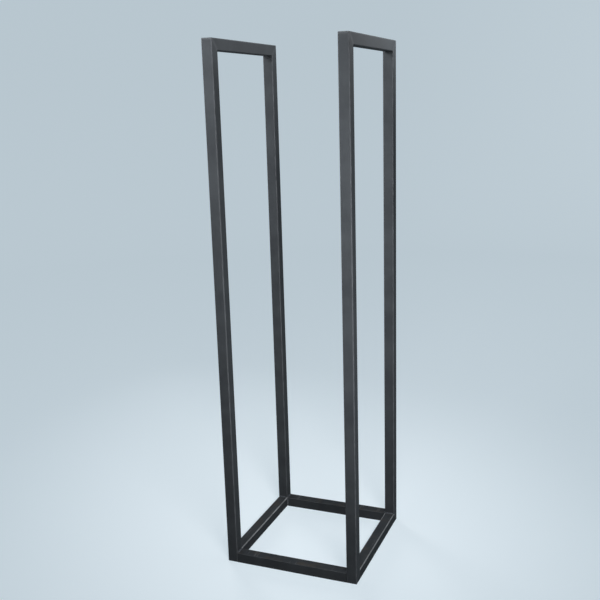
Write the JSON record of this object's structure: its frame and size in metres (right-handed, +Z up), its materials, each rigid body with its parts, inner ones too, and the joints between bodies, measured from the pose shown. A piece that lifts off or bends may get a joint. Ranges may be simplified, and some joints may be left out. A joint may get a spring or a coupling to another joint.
{
  "type": "log holder",
  "caption": "Tall open firewood rack of square steel tube: two closed side frames tied at the base by a front and a rear rail.",
  "frame": {"origin": "on the floor, in the middle of the base", "axes": "+Z up, -Y towards the front where the logs are put in, +X to the right as seen from the front"},
  "size_m": [0.325, 0.325, 1.2],
  "materials": {
    "painted_tube": "satin",
    "painted_weld": "satin"
  },
  "bodies": {
    "root": {"left_front_post": "painted_tube", "left_rear_post": "painted_tube", "left_top_rail": "painted_tube", "left_base_rail": "painted_tube", "right_front_post": "painted_tube", "right_rear_post": "painted_tube", "right_top_rail": "painted_tube", "right_base_rail": "painted_tube", "front_rail": "painted_tube", "rear_rail": "painted_tube", "left_front_top_weld": "painted_weld", "left_rear_top_weld": "painted_weld", "left_front_base_weld": "painted_weld", "left_rear_base_weld": "painted_weld", "right_front_top_weld": "painted_weld", "right_rear_top_weld": "painted_weld", "right_front_base_weld": "painted_weld", "right_rear_base_weld": "painted_weld", "front_rail_left_weld": "painted_weld", "front_rail_right_weld": "painted_weld", "rear_rail_left_weld": "painted_weld", "rear_rail_right_weld": "painted_weld"}
  },
  "joints": []
}
